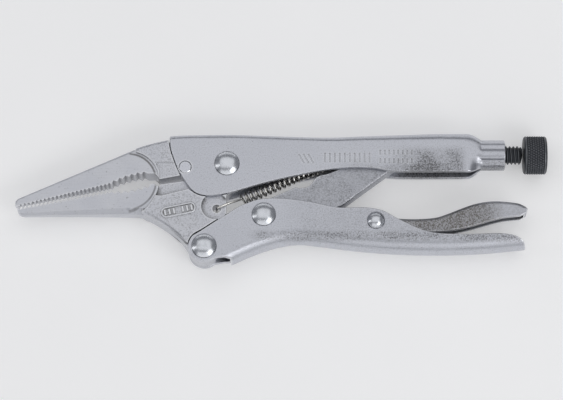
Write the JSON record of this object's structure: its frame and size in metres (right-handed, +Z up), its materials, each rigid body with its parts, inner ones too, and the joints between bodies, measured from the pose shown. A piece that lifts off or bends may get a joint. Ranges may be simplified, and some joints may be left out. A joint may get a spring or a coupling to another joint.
{
  "type": "locking pliers",
  "caption": "Long-nose locking pliers with pressed channel handles, toggle link, release lever, return spring and knurled adjusting screw.",
  "frame": {"origin": "middle of the box of the face that the tool lies on, at the level of the lower rivet heads", "axes": "+X along the tool from the jaw tips to the adjusting knob, +Y towards the fixed handle, +Z up through the tool's thickness as it lies flat"},
  "size_m": [0.2256, 0.057, 0.0178],
  "materials": {
    "plated_sheet": "satin nickel plate over pressed sheet",
    "plated_link": "satin nickel plate, darker and rougher",
    "plated_lever": "satin nickel plate",
    "plated_forging": "fine-pitted satin nickel plate over a forging",
    "polished_rivet": "polished",
    "spring_steel": "oiled dark wire",
    "black_screw": "black oxide"
  },
  "bodies": {
    "frame": {"fixed_handle": "plated_sheet", "fixed_jaw": "plated_forging", "jaw_pin": "plated_forging", "pivot_rivet": "polished_rivet", "tension_spring": "spring_steel"},
    "moving_jaw": {"moving_jaw": "plated_forging"},
    "moving_handle": {"moving_handle": "plated_sheet", "lug_rivet": "polished_rivet", "link_rivet": "polished_rivet", "lever_rivet": "polished_rivet"},
    "toggle_link": {"toggle_link": "plated_link"},
    "release_lever": {"release_lever": "plated_lever"},
    "screw_feed": {"screw_nose": "black_screw"},
    "screw_turn": {"adjusting_screw": "black_screw", "screw_knob": "black_screw"}
  },
  "joints": [
    {"name": "jaw_pivot", "type": "hinge", "parent": "frame", "child": "moving_jaw", "pos_m": [-0.0231, 0.01425, 0.00888], "axis": [0, 0, 1], "range_deg": [0, 30.5], "deforming": ["tension_spring"]},
    {"name": "handle_pivot", "type": "hinge", "parent": "moving_jaw", "child": "moving_handle", "pos_m": [-0.0326, -0.02175, 0.00888], "axis": [0, 0, 1], "range_deg": [-81.5, 0]},
    {"name": "link_pivot", "type": "hinge", "parent": "moving_handle", "child": "toggle_link", "pos_m": [-0.0075, -0.00805, 0.00888], "axis": [0, 0, 1], "range_deg": [0, 81]},
    {"name": "release_pivot", "type": "hinge", "parent": "moving_handle", "child": "release_lever", "pos_m": [0.0398, -0.01065, 0.00888], "axis": [0, 0, 1], "range_deg": [-7, 0]},
    {"name": "screw_travel", "type": "slide", "parent": "frame", "child": "screw_feed", "axis": [1, 0, 0], "range_m": [0, 0.0104]},
    {"name": "screw_spin", "type": "hinge", "parent": "screw_feed", "child": "screw_turn", "pos_m": [0.0951, 0.01965, 0.00888], "axis": [1, 0, 0], "range_deg": [0, 2250]}
  ],
  "couplings": [
    {"joint": "jaw_pivot", "follows": "handle_pivot", "ratio": -0.3679},
    {"joint": "link_pivot", "follows": "handle_pivot", "ratio": -0.9858},
    {"joint": "screw_travel", "follows": "screw_spin", "m_per_rad": 0.00025465}
  ]
}
